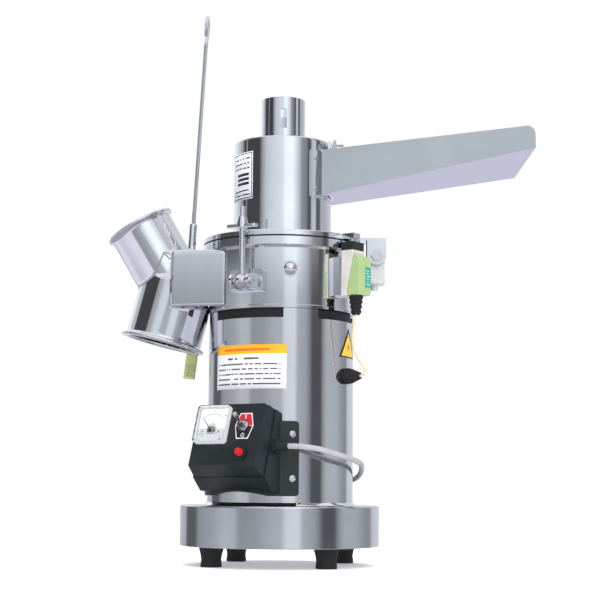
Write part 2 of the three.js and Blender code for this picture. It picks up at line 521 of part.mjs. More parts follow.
// Lid safety switch on its pad, its lead and the grommet where the lead enters the body.
function buildSwitch() {
  const place = (name, geometry, look) => part(name, facing(SWITCH_AZIMUTH, geometry), look);
  place("switch_body", slabX([[-103.5, 331], [-112, 331], [-112, 338], [-121, 379], [-121, 387.5],
    [-103.5, 387.5]], -13, 13), CREAM);
  place("switch_cover", slabX([[-112.3, 331.5], [-128.5, 331.5], [-130.5, 334], [-130.5, 376],
    [-127, 380], [-121.3, 380], [-121.3, 379], [-112.3, 338]], -13, 13), GREEN);
  const head = box(-12, 12, -120.5, -102.6, 387.8, 398.2);
  const guide = disc(3.2, 388.8, 410, 16).translate(0, -111, 0);
  place("switch_head", cut(head, guide), BLACK);
  place("switch_plunger", disc(2.8, 392.5, LID_BOTTOM - GAP, 14).translate(0, -111, 0), STEEL);
  const boot = [[LEAD_RADIUS + 0.5, 330.7], [8.8, 330.7], [8.8, 328]];
  for (let rib = 0; rib < 3; rib += 1) {
    const z = 327 - rib * 6;
    boot.push([7.6 - rib * 0.8, z], [7.6 - rib * 0.8, z - 1.6], [8.2 - rib * 0.8, z - 2.4],
      [8.2 - rib * 0.8, z - 4.2]);
  }
  boot.push([4.6, 307.5], [LEAD_RADIUS + 0.5, 307.5]);
  place("switch_boot", turned(boot, 14).translate(0, -117, 0), RUBBER);
  const dome = turned([[LEAD_RADIUS + 0.5, 90], [10, 90], [10, 96], [9, 101], [6.4, 107], [4.4, 112],
    [LEAD_RADIUS + 0.5, 112]], 20).rotateX(Math.PI / 2).translate(0, 0, 234);
  part("lead_grommet", cut(facing(62, dome), disc(BODY_RADIUS + GAP, 200, 260, ROUND)), RUBBER);
  const route = [[92.82, -71.23, 326], [92.82, -71.23, 316], [92.6, -71, 306], [90.8, -69.6, 295],
    [89.2, -67.6, 284], [89.6, -65.6, 272], [93, -63.6, 261], [98.4, -61.8, 251.5], [103.2, -59.8, 244],
    [105.4, -58, 238.8], [103.4, -55.2, 234.8], [98.9, -52.6, 234], [93.6, -49.8, 234], [89.2, -47.4, 234]];
  part("switch_lead", swept(route, LEAD_RADIUS, 46, 8), CREAM);
}

buildBase();
buildMotor();
buildChamber();
buildRotor();
buildOutlet();
buildLid();
buildTray();
buildHinge();
buildClamp("front", -CLAMP_AZIMUTH);
buildClamp("rear", CLAMP_AZIMUTH - 180);
buildControlBox();
buildPowerCord();
buildSwitch();

mill.position.x = AXIS_X;
const hammerMill = new THREE.Group();
hammerMill.add(mill);

export default hammerMill;
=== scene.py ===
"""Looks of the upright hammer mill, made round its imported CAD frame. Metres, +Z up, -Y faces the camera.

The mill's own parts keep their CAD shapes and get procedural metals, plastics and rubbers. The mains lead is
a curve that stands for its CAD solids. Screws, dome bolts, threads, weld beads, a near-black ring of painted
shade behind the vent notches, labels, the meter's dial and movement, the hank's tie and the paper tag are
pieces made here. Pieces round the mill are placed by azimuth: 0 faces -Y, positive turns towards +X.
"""
import json
import math

import bpy
from mathutils import Matrix, Vector


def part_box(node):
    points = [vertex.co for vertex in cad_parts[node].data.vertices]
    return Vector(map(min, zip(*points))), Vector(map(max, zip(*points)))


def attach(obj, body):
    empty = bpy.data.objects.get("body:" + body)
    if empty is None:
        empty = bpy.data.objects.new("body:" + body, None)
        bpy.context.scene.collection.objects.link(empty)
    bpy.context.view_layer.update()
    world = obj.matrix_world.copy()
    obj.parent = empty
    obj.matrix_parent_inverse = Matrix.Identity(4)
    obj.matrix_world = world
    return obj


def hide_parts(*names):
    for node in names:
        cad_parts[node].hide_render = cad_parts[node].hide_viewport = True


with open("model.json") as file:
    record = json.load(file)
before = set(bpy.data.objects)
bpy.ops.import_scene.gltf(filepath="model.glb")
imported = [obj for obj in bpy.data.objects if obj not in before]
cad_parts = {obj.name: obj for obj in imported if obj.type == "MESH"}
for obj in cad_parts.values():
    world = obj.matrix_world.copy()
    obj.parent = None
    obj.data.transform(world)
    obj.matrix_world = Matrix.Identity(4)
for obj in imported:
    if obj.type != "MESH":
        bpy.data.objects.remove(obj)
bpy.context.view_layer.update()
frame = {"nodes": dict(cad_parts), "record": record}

MM = 0.001
NODES = frame["nodes"]


def middle(node):
    low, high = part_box(node)
    return (low + high) / 2


AXIS = Vector((middle("feed_cylinder").x, 0, 0))
FEED_RADIUS = (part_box("feed_cylinder")[1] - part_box("feed_cylinder")[0]).x / 2
BODY_RADIUS = 91.7 * MM
BASE_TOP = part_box("base")[1].z
BOX_AZIMUTH = -34
SWITCH_AZIMUTH = 52.5
CLAMP_AZIMUTHS = {"front": -25.5, "rear": -154.5}


def around(azimuth, radius, z):
    """A point at that azimuth and distance from the mill's axis."""
    angle = math.radians(azimuth)
    return Vector((AXIS.x + radius * math.sin(angle), -radius * math.cos(angle), z))


def turned_frame(azimuth):
    """The mill's frame turned to an azimuth, as part.mjs draws pieces that face -Y."""
    return Matrix.Translation(AXIS) @ Matrix.Rotation(math.radians(azimuth), 4, "Z")


def facing(azimuth, radius, z):
    """A frame on the mill's side: X to the right, Y up, Z out of the surface."""
    return turned_frame(azimuth) @ Matrix.Translation((0, -radius, z)) @ Matrix.Rotation(math.pi / 2, 4, "X")


# The control box's leaning panel: X to the right, Y up the slope, Z out of it.
PANEL_SLOPE = math.atan2(22.5, 74)
PANEL = (turned_frame(BOX_AZIMUTH) @ Matrix.Translation((0, -114.25 * MM, 159 * MM))
         @ Matrix.Rotation(math.pi / 2 - PANEL_SLOPE, 4, "X"))
METER = PANEL @ Matrix.Translation((-20.5 * MM, 0, 0))


# Camera

CAMERA_AT = (-0.0217, -1.844, 0.0971)
CAMERA_PITCH = math.radians(7.346)
CAMERA_ROLL = math.radians(0.399)
CAMERA_LENS = 87.0

camera_data = bpy.data.cameras.new("camera")
camera_data.lens = CAMERA_LENS
camera_data.clip_end = 50
camera = bpy.data.objects.new("camera", camera_data)
bpy.context.scene.collection.objects.link(camera)
camera.matrix_world = (Matrix.Translation(CAMERA_AT)
                       @ Matrix.Rotation(math.pi / 2 + CAMERA_PITCH, 4, "X")
                       @ Matrix.Rotation(CAMERA_ROLL, 4, "Z"))
bpy.context.scene.camera = camera


# The mains lead: the route round the mill, then four turns of a tied hank on the base's rear ledge.

CORD_DIAMETER = 6.8 * MM
GLAND_Y, GLAND_Z = -90 * MM, 145 * MM
GLAND_INSIDE, GLAND_MOUTH = (62 * MM, 69 * MM, 76 * MM), 75 * MM
CORD_ROUTE = [
    (0.0228, -0.1216, 0.1448), (0.0339, -0.1224, 0.1438), (0.0446, -0.1193, 0.1422),
    (0.0570, -0.1118, 0.1395), (0.0750, -0.0970, 0.1345), (0.0920, -0.0710, 0.1295),
    (0.1005, -0.0400, 0.1255), (0.1028, -0.0050, 0.1200), (0.1023, 0.0250, 0.1145),
    (0.0985, 0.0460, 0.1095), (0.0925, 0.0620, 0.1065), (0.0846, 0.0744, 0.1052),
    (0.0752, 0.0836, 0.1051),
]
HANK_TURNS = 4
HANK_CENTRE = Vector((0.0335, 0.1168, 0)) + AXIS
HANK_ANGLE = math.radians(164)
HANK_HALF_RUN = 32 * MM
HANK_LOOP = 20.4 * MM  # from the hank's middle line to the middle of a run
HANK_PINCH = 8 * MM  # how far the tie pulls each run in
HANK_LOW, HANK_PITCH = BASE_TOP + 3.9 * MM, 6.8 * MM


def smooth_path(points, step):
    """Points about step apart on a centripetal Catmull-Rom curve, the one that the CAD tube follows."""
    ends = [2 * points[0] - points[1], *points, 2 * points[-1] - points[-2]]
    made = []
    for before, start, end, after in zip(ends, ends[1:], ends[2:], ends[3:]):
        gaps = [math.sqrt((b - a).length) for a, b in ((before, start), (start, end), (end, after))]
        leave = ((start - before) / gaps[0] - (end - before) / (gaps[0] + gaps[1]) + (end - start) / gaps[1])
        arrive = ((end - start) / gaps[1] - (after - start) / (gaps[1] + gaps[2]) + (after - end) / gaps[2])
        leave, arrive = leave * gaps[1], arrive * gaps[1]
        count = max(2, round((end - start).length / step))
        for i in range(count):
            t = i / count
            made.append(start + leave * t + (3 * (end - start) - 2 * leave - arrive) * t ** 2
                        + (2 * (start - end) + leave + arrive) * t ** 3)
    return [*made, points[-1]]


def hank_point(along, across, z):
    """A point in the hank's own frame: along its runs, and across them, away from the mill."""
    cos, sin = math.cos(HANK_ANGLE), math.sin(HANK_ANGLE)
    return HANK_CENTRE + Vector((cos * along + sin * across, sin * along - cos * across, z))


def hank_run(side, direction, z):
    """One straight run, pulled in by the tie at its middle."""
    steps = 16
    points = []
    for i in range(steps):
        along = direction * HANK_HALF_RUN * (2 * i / steps - 1)
        pull = HANK_PINCH * (1 + math.cos(math.pi * along / HANK_HALF_RUN)) / 2
        points.append(hank_point(along, side * (HANK_LOOP - pull), z))
    return points


def hank_loop(direction, z, drop):
    """The half loop at one end of the hank, from one run to the other, sinking by drop."""
    steps = 16
    points = []
    for i in range(steps):
        share = i / steps
        angle = direction * math.pi * share
        along = direction * (HANK_HALF_RUN + HANK_LOOP * math.sin(abs(angle)))
        across = -direction * HANK_LOOP * math.cos(angle)
        points.append(hank_point(along, across, z - drop * (3 - 2 * share) * share ** 2))
    return points


def hank_points():
    """The turns from the top down. Each end loop far from the gland sinks by one layer."""
    points = []
    for turn in range(HANK_TURNS):
        z = HANK_LOW + HANK_PITCH * (HANK_TURNS - turn)
        points += hank_run(-1, 1, z) + hank_loop(1, z, HANK_PITCH)
        points += hank_run(1, -1, z - HANK_PITCH) + hank_loop(-1, z - HANK_PITCH, 0)
    points += hank_run(-1, 1, HANK_LOW)
    tail = HANK_HALF_RUN + 18.3 * MM
    return [*points, hank_point(HANK_HALF_RUN, -HANK_LOOP, HANK_LOW),
            hank_point(tail, -HANK_LOOP, HANK_LOW + MM)]


def poly_curve(name, points, radius, sides=3):
    """A tube along points, as a curve of one open spline whose points hold the tube's radius."""
    data = bpy.data.curves.new(name, "CURVE")
    data.dimensions = "3D"
    data.bevel_depth = 1.0
    data.bevel_resolution = sides
    data.use_fill_caps = True
    spline = data.splines.new("POLY")
    spline.points.add(len(points) - 1)
    for point, place in zip(spline.points, points):
        point.co = (*place, 1)
        point.radius = radius
    spline.use_smooth = True
    piece = bpy.data.objects.new(name, data)
    bpy.context.scene.collection.objects.link(piece)
    return piece


gland = [turned_frame(BOX_AZIMUTH) @ Vector((along, GLAND_Y, GLAND_Z)) for along in GLAND_INSIDE]
route = gland + [Vector(point) + AXIS for point in CORD_ROUTE]
lead = poly_curve("mains_lead", smooth_path(route, 4 * MM) + hank_points(), CORD_DIAMETER / 2)
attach(lead, "stand")
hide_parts("power_cord", "cord_hank")


# Meshes

def mesh_piece(name, points, faces, body, smooth=True, place=None):
    """A mesh that rides on a body. Points are in place's frame, or in the row frame."""
    mesh = bpy.data.meshes.new(name)
    mesh.from_pydata([tuple(place @ Vector(p)) if place else tuple(p) for p in points], [], faces)
    mesh.validate()
    if smooth:
        mesh.shade_smooth()
    piece = bpy.data.objects.new(name, mesh)
    bpy.context.scene.collection.objects.link(piece)
    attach(piece, body)
    return piece


def lathe(profile, sides=40):
    """Points and faces of a profile of [radius, height] turned about Z, closed where it meets the axis."""
    points, faces = [], []
    for radius, height in profile:
        ring = 1 if radius == 0 else sides
        points += [(radius * math.cos(angle), radius * math.sin(angle), height)
                   for angle in (2 * math.pi * i / sides for i in range(ring))]
    start = 0
    for (radius, _), (above, _) in zip(profile, profile[1:]):
        below = 1 if radius == 0 else sides
        top = start + below
        for i in range(sides):
            j = (i + 1) % sides
            low = [start + i, start + j] if below > 1 else [start]
            high = [top + j, top + i] if above > 0 else [top]
            if len(low) + len(high) > 2:
                faces.append(low + high)
        start = top
    return points, faces


def sheet_on(azimuths, heights, radius, columns=24, rows=4):
    """A grid laid on the mill's round side, with its corners' shares as UVs."""
    points, faces, shares = [], [], []
    for j in range(rows + 1):
        for i in range(columns + 1):
            u, v = i / columns, j / rows
            azimuth = azimuths[0] + (azimuths[1] - azimuths[0]) * u
            points.append(around(azimuth, radius, heights[0] + (heights[1] - heights[0]) * v))
            shares.append((u, v))
    for j in range(rows):
        for i in range(columns):
            at = j * (columns + 1) + i
            faces.append([at, at + 1, at + columns + 2, at + columns + 1])
    return points, faces, shares


def add_uv(piece, shares):
    layer = piece.data.uv_layers.new(name="UVMap")
    for loop in piece.data.loops:
        layer.data[loop.index].uv = shares[loop.vertex_index]


def plate(name, outline, low, high, body, place):
    """A flat plate with a closed outline of (x, y), from low to high along the place's Z."""
    count = len(outline)
    points = [(x, y, z) for z in (low, high) for x, y in outline]
    faces = [list(range(count))[::-1], list(range(count, 2 * count))]
    faces += [[i, (i + 1) % count, count + (i + 1) % count, count + i] for i in range(count)]
    return mesh_piece(name, points, faces, body, smooth=False, place=place)


def add_modifier(piece, kind, **settings):
    made = piece.modifiers.new(kind.lower(), kind)
    for name, value in settings.items():
        setattr(made, name, value)
    return made


# Materials

class Finish:
    """A material's shader, with short calls for the nodes that the finishes share."""

    def __init__(self, name, color, roughness, **fixed):
        self.material = bpy.data.materials.new(name)
        self.material.use_nodes = True
        self.tree = self.material.node_tree
        self.shader = self.tree.nodes["Principled BSDF"]
        self.shader.inputs["Base Color"].default_value = (*color, 1)
        self.shader.inputs["Roughness"].default_value = roughness
        for socket, value in fixed.items():
            self.shader.inputs[socket.replace("_", " ")].default_value = value
        self.place = self.node("ShaderNodeTexCoord").outputs["Object"]

    def node(self, kind, inputs=None, **settings):
        made = self.tree.nodes.new(kind)
        for name, value in settings.items():
            setattr(made, name, value)
        for socket, value in (inputs or {}).items():
            if isinstance(value, bpy.types.NodeSocket):
                self.tree.links.new(value, made.inputs[socket])
            else:
                made.inputs[socket].default_value = value
        return made

    def stretched(self, scale):
        return self.node("ShaderNodeMapping", {"Vector": self.place, "Scale": scale}).outputs["Vector"]

    def noise(self, scale, detail=3.0, stretch=None, roughness=0.5):
        vector = self.stretched(stretch) if stretch else self.place
        made = self.node("ShaderNodeTexNoise", {"Vector": vector, "Scale": scale, "Detail": detail,
                                                "Roughness": roughness})
        return made.outputs["Fac"]

    def math(self, operation, *values, clamp=False):
        made = self.node("ShaderNodeMath", dict(enumerate(values)), operation=operation, use_clamp=clamp)
        return made.outputs[0]

    def range(self, value, low, high, to_low, to_high):
        made = self.node("ShaderNodeMapRange", {"Value": value, "From Min": low, "From Max": high,
                                                "To Min": to_low, "To Max": to_high})
        return made.outputs["Result"]

    def mix(self, share, first, second):
        """A colour between two colours or colour sockets."""
        made = self.node("ShaderNodeMix", data_type="RGBA")
        for index, value in ((0, share), (6, first), (7, second)):
            if isinstance(value, bpy.types.NodeSocket):
                self.tree.links.new(value, made.inputs[index])
            else:
                made.inputs[index].default_value = (*value, 1) if index else value
        return made.outputs[2]

    def color(self, value):
        self.tree.links.new(value, self.shader.inputs["Base Color"])

    def roughness(self, value):
        self.tree.links.new(value, self.shader.inputs["Roughness"])

    def bump(self, height, strength, distance):
        made = self.node("ShaderNodeBump", {"Height": height, "Strength": strength, "Distance": distance})
        self.tree.links.new(made.outputs["Normal"], self.shader.inputs["Normal"])


def steel(name, bright, dull, roughness, grain, grain_scale, marks=0.05, depth=0.05):
    """Steel with fine polishing lines: grain stretches the noise along them."""
    made = Finish(name, bright, roughness, Metallic=1.0)
    lines = made.noise(grain_scale, 2.0, grain)
    smudges = made.noise(14, 4.0, roughness=0.65)
    made.color(made.mix(made.range(smudges, 0.35, 0.7, 0, 1), bright, dull))
    base = made.range(lines, 0.3, 0.7, roughness, roughness + marks)
    made.roughness(made.math("ADD", base, made.range(smudges, 0.4, 0.75, 0, marks)))
    made.bump(lines, depth, 0.1 * MM)
    return made.material


TURNED_GRAIN = (1, 1, 60)  # lines run round the mill's axis
SHEET_GRAIN = (1, 60, 60)  # lines run along the tray
STACK_MIDDLE, STACK_HALF = 185 * MM, 55.2 * MM  # the stator's laminations; copper coil heads lie past them


def coppery_stator():
    made = Finish("wound_stator", (0.3, 0.29, 0.28), 0.45, Metallic=0.9)
    height = made.node("ShaderNodeSeparateXYZ", {"Vector": made.place}).outputs["Z"]
    from_middle = made.math("ABSOLUTE", made.math("SUBTRACT", height, STACK_MIDDLE))
    copper = made.math("GREATER_THAN", from_middle, STACK_HALF)
    turns = made.node("ShaderNodeTexWave", {"Vector": made.place, "Scale": 700.0, "Distortion": 3.0},
                      bands_direction="Z").outputs["Fac"]
    wire = made.mix(turns, (0.35, 0.1, 0.03), (0.75, 0.3, 0.1))
    sheets = made.mix(turns, (0.22, 0.22, 0.23), (0.42, 0.42, 0.43))
    made.color(made.mix(copper, sheets, wire))
    made.bump(turns, 0.5, 0.3 * MM)
    return made.material


def laminated():
    made = Finish("laminated_core", (0.4, 0.4, 0.41), 0.4, Metallic=1.0)
    sheets = made.node("ShaderNodeTexWave", {"Vector": made.place, "Scale": 900.0},
                       bands_direction="Z").outputs["Fac"]
    made.color(made.mix(sheets, (0.25, 0.25, 0.26), (0.5, 0.5, 0.51)))
    made.bump(sheets, 0.4, 0.1 * MM)
    return made.material


def cast_metal(name, light, dark, roughness, metallic):
    made = Finish(name, light, roughness, Metallic=metallic)
    pits = made.noise(420, 4.0)
    stains = made.noise(25, 3.0)
    made.color(made.mix(made.range(stains, 0.35, 0.7, 0, 1), light, dark))
    made.roughness(made.range(pits, 0.3, 0.7, roughness, roughness + 0.2))
    made.bump(pits, 0.3, 0.3 * MM)
    return made.material


def moulded(name, color, roughness, grain_scale=1500, grain=0.12, spread=0.12, **fixed):
    """Moulded plastic or paint: a fine grain, slight colour change and dull patches from handling."""
    made = Finish(name, color, roughness, **fixed)
    patches = made.noise(35, 4.0, roughness=0.6)
    fine = made.noise(grain_scale, 2.0)
    darker = tuple(c * (1 - spread) for c in color)
    lighter = tuple(min(1, c * (1 + spread)) for c in color)
    made.color(made.mix(made.range(patches, 0.3, 0.7, 0, 1), darker, lighter))
    made.roughness(made.math("ADD", made.range(patches, 0.3, 0.7, roughness, roughness + 0.1),
                             made.range(fine, 0.3, 0.7, 0, 0.06)))
    made.bump(fine, grain, 0.15 * MM)
    return made.material


def glowing(finish):
    """The finish made to glow a little white: an evenly bright floor, and painted light on the dial behind
    its window.
    """
    shader = finish.node_tree.nodes["Principled BSDF"]
    shader.inputs["Emission Color"].default_value = (1, 1, 1, 1)
    shader.inputs["Emission Strength"].default_value = 0.3
    return finish


def clear_window():
    made = Finish("clear_plastic", (0.97, 0.98, 0.985), 0.02, IOR=1.16)
    made.shader.inputs["Transmission Weight"].default_value = 1.0
    scratches = made.noise(300, 2.0, (1, 12, 1))
    made.roughness(made.range(scratches, 0.5, 0.8, 0.0, 0.05))
    return made.material


FINISHES = {
    "polished_steel": steel("polished_steel", (0.81, 0.82, 0.84), (0.74, 0.75, 0.78), 0.045, TURNED_GRAIN, 55,
                            0.03, 0.01),
    "bright_fittings": steel("bright_fittings", (0.82, 0.82, 0.83), (0.7, 0.7, 0.72), 0.12, None, 900, 0.06),
    "black_rubber": moulded("black_rubber", (0.012, 0.012, 0.013), 0.6, 700, 0.25),
    # A dark paint, set near black so that the gap under the chamber reads dark: partly the castings' own
    # colour, partly painted shade.
    "motor_castings": cast_metal("motor_castings", (0.06, 0.06, 0.065), (0.03, 0.03, 0.033), 0.5, 0.2),
    "machined_steel": steel("machined_steel", (0.65, 0.66, 0.67), (0.5, 0.51, 0.52), 0.22, TURNED_GRAIN, 90,
                            0.1),
    "wound_stator": coppery_stator(),
    "laminated_core": laminated(),
    "hardened_iron": cast_metal("hardened_iron", (0.28, 0.28, 0.29), (0.13, 0.13, 0.14), 0.35, 0.85),
    "cream_finish": moulded("cream_finish", (0.62, 0.58, 0.53), 0.38),
    "green_plastic": moulded("green_plastic", (0.35, 0.47, 0.21), 0.35),
    "black_plastic": moulded("black_plastic", (0.012, 0.018, 0.019), 0.33, 1100, 0.2, 0.2),
    "meter_case": moulded("meter_case", (0.78, 0.79, 0.8), 0.2, 1500, 0.03, 0.05),
    "clear_plastic": clear_window(),
    "red_plastic": moulded("red_plastic", (0.6, 0.012, 0.015), 0.18, 1500, 0.03),
    "cord_jacket": moulded("cord_jacket", (0.4, 0.4, 0.42), 0.42, 900, 0.15),
}
SATIN_SHEET = steel("satin_sheet", (0.66, 0.69, 0.71), (0.58, 0.61, 0.63), 0.3, SHEET_GRAIN, 40, 0.08, 0.03)
TURNED_BASE = steel("turned_base", (0.78, 0.79, 0.82), (0.7, 0.71, 0.74), 0.07, TURNED_GRAIN, 45, 0.05, 0.015)
LEAD_JACKET = moulded("lead_jacket", (0.85, 0.66, 0.45), 0.4, 1500, 0.05)
PALE_BLOCK = moulded("pale_block", (0.58, 0.58, 0.59), 0.4, 600, 0.2)


def tray_sheet():
    """Satin sheet, with polished tabs against the feed cylinder and a painted lavender reflection on the
    faces that look down.
    """
    made = Finish("tray_sheet", (0.66, 0.69, 0.71), 0.3, Metallic=1.0)
    split = made.node("ShaderNodeSeparateXYZ", {"Vector": made.place})
    lines = made.noise(18, 1.0, SHEET_GRAIN)
    patches = made.noise(9, 3.0)
    across = made.math("SUBTRACT", split.outputs["X"], AXIS.x)
    reach = made.math("SQRT", made.math("ADD", made.math("MULTIPLY", across, across),
                                        made.math("MULTIPLY", split.outputs["Y"], split.outputs["Y"])))
    tab = made.math("LESS_THAN", reach, FEED_RADIUS + 2.2 * MM)
    normal = made.node("ShaderNodeNewGeometry").outputs["Normal"]
    upwards = made.node("ShaderNodeSeparateXYZ", {"Vector": normal}).outputs["Z"]
    # Faces that look down get a painted lavender reflection of what lies below the tray.
    painted_reflection_mask = made.math("LESS_THAN", upwards, -0.8)
    sheet = made.mix(made.range(patches, 0.35, 0.65, 0, 1), (0.66, 0.69, 0.71), (0.58, 0.61, 0.63))
    with_painted_reflection = made.mix(painted_reflection_mask, sheet, (0.76, 0.76, 0.88))
    made.color(made.mix(tab, with_painted_reflection, (0.8, 0.81, 0.83)))
    satin = made.range(lines, 0.3, 0.7, 0.3, 0.34)
    made.roughness(made.math("ADD", made.math("MULTIPLY", satin, made.math("SUBTRACT", 1.0, tab)),
                             made.math("MULTIPLY", tab, 0.06)))
    made.bump(lines, 0.004, 0.1 * MM)
    return made.material


# Nodes whose finish isn't that of their material slot.
SPECIAL = {"feed_tray": tray_sheet(), "feed_gate": SATIN_SHEET, "base": TURNED_BASE,
           "switch_lead": LEAD_JACKET, "hinge_block": PALE_BLOCK}


# Nodes whose edges are rounded off, with the rounding's width.
ROUNDED = {"feed_tray": 0.4 * MM, "control_cover": 1.2 * MM, "control_base": 0.8 * MM,
           "hinge_block": 0.6 * MM, "switch_body": 0.8 * MM, "switch_cover": 1.2 * MM, "power_plug": 1.2 * MM,
           "ammeter_window": 0.6 * MM, "switch_head": 0.6 * MM}
# Sheet metal that is welded and ground, so that its seams run into each other, with its remesh's voxel size.
BLENDED = {"outlet_duct": 1.0 * MM}
SEAM_ANGLE = math.radians(32)  # edges sharper than this stay crisp


def dress_nodes():
    """Gives each CAD node its finish and shades it smooth across shallow edges."""
    for subpart in frame["record"]["subparts"]:
        name = subpart["node"]
        node = NODES[name]
        finish = SPECIAL.get(name, FINISHES[subpart["material_slot"]])
        node.data.materials.clear()
        node.data.materials.append(finish)
        node.data.shade_smooth()
        if "custom_normal" in node.data.attributes:
            node.data.attributes.remove(node.data.attributes["custom_normal"])
        add_modifier(node, "WELD", merge_threshold=1e-6)
        if name in BLENDED:
            add_modifier(node, "REMESH", mode="VOXEL", voxel_size=BLENDED[name], use_smooth_shade=True)
            add_modifier(node, "SMOOTH", factor=0.5, iterations=30)
            continue
        add_modifier(node, "DECIMATE", decimate_type="DISSOLVE", angle_limit=math.radians(0.4))
        if name in ROUNDED:
            add_modifier(node, "BEVEL", width=ROUNDED[name], segments=3, limit_method="ANGLE",
                         angle_limit=math.radians(35))
        add_modifier(node, "EDGE_SPLIT", split_angle=SEAM_ANGLE, use_edge_sharp=False)
        add_modifier(node, "WEIGHTED_NORMAL", weight=60)


def give(piece, finish):
    piece.data.materials.append(finish)
    return piece


dress_nodes()
give(lead, FINISHES["cord_jacket"])


# Printed pieces

def printed(name, paper, build):
    """A printed sheet: build mixes its inks over the paper colour from the sheet's own U and V."""
    made = Finish(name, paper, 0.35)
    uv = made.node("ShaderNodeTexCoord").outputs["UV"]
    split = made.node("ShaderNodeSeparateXYZ", {"Vector": uv})
    wear = made.range(made.noise(120, 3.0), 0.3, 0.75, 0, 1)
    worn = made.mix(wear, paper, tuple(c * 0.93 for c in paper))
    made.color(build(made, split.outputs["X"], split.outputs["Y"], worn))
    made.bump(made.noise(900, 2.0), 0.05, 0.05 * MM)
    return made.material


def inside(made, value, low, high):
    """1 where value is between low and high."""
    above = made.math("GREATER_THAN", value, low)
    return made.math("MULTIPLY", above, made.math("LESS_THAN", value, high))


def bars(made, u, v, columns, rows, left, right, low, high):
    """Rows of short dark dashes of uneven length, which stand in for print."""
    row = made.math("FRACT", made.math("MULTIPLY", made.range(v, low, high, 0, 1), rows))
    dash = made.node("ShaderNodeCombineXYZ", {"X": made.math("FLOOR", made.math("MULTIPLY", u, columns)),
                                              "Y": made.math("FLOOR", made.math("MULTIPLY", v, rows * 3.0))})
    chance = made.node("ShaderNodeTexWhiteNoise", {"Vector": dash.outputs["Vector"]},
                       noise_dimensions="2D").outputs["Value"]
    shown = made.math("GREATER_THAN", chance, 0.22)
    for part in (inside(made, row, 0.3, 0.62), inside(made, u, left, right), inside(made, v, low, high)):
        shown = made.math("MULTIPLY", shown, part)
    return shown


def side_label_print(made, u, v, paper):
    white = made.mix(bars(made, u, v, 46.0, 5.0, 0.04, 0.93, 0.06, 0.62), paper, (0.12, 0.11, 0.11))
    heading = made.mix(bars(made, u, v, 30.0, 1.0, 0.22, 0.66, 0.62, 0.76), white, (0.08, 0.08, 0.09))
    banded = made.mix(made.math("GREATER_THAN", v, 0.79), heading, (1.0, 0.43, 0.004))
    return made.mix(bars(made, u, v, 9.0, 1.0, 0.15, 0.8, 0.8, 0.99), banded, (0.72, 0.16, 0.01))


def outside_box(made, u, v, across, up):
    """1 where u is outside the range across or v is outside the range up."""
    return made.math("SUBTRACT", 1.0, made.math("MULTIPLY", inside(made, u, *across), inside(made, v, *up)))


def rating_plate_print(made, u, v, paper):
    edge = outside_box(made, u, v, (0.05, 0.95), (0.04, 0.96))
    frame_line = made.math("SUBTRACT", edge, outside_box(made, u, v, (0.02, 0.98), (0.02, 0.98)))
    inked = made.mix(frame_line, paper, (0.03, 0.03, 0.03))
    upper = made.mix(bars(made, u, v, 14.0, 3.0, 0.12, 0.9, 0.62, 0.92), inked, (0.05, 0.05, 0.05))
    rows = inside(made, made.math("FRACT", made.math("MULTIPLY", v, 10.5)), 0.22, 0.86)
    block = made.math("MULTIPLY", inside(made, u, 0.3, 0.86), inside(made, v, 0.27, 0.57))
    middle_ink = made.mix(made.math("MULTIPLY", rows, block), upper, (0.02, 0.02, 0.02))
    return made.mix(bars(made, u, v, 14.0, 2.0, 0.12, 0.9, 0.06, 0.24), middle_ink, (0.05, 0.05, 0.05))


def teal_print(made, u, v, paper):
    lines = bars(made, u, v, 7.0, 6.0, 0.15, 0.85, 0.1, 0.9)
    return made.mix(lines, paper, (0.5, 0.75, 0.62))


def tag_print(made, u, v, paper):
    return made.mix(bars(made, u, v, 6.0, 6.0, 0.2, 0.8, 0.12, 0.6), paper, (0.3, 0.32, 0.12))


FILM = 0.2 * MM  # how far a printed film's face stands off the surface below it


def add_labels():
    for name, azimuths, heights, radius, paper, build, body in (
            ("side_label", (-58.3, 5), (0.215, 0.269), BODY_RADIUS, (0.83, 0.83, 0.86), side_label_print,
             "stand"),
            ("rating_plate", (-75, -36), (0.457, 0.518), FEED_RADIUS, (0.83, 0.84, 0.86),
             rating_plate_print, "lid")):
        points, faces, shares = sheet_on(azimuths, heights, radius + FILM)
        piece = mesh_piece(name, points, faces, body)
        add_uv(piece, shares)
        give(piece, printed(name, paper, build))
        add_modifier(piece, "SOLIDIFY", thickness=FILM * 0.9, offset=-1.0)


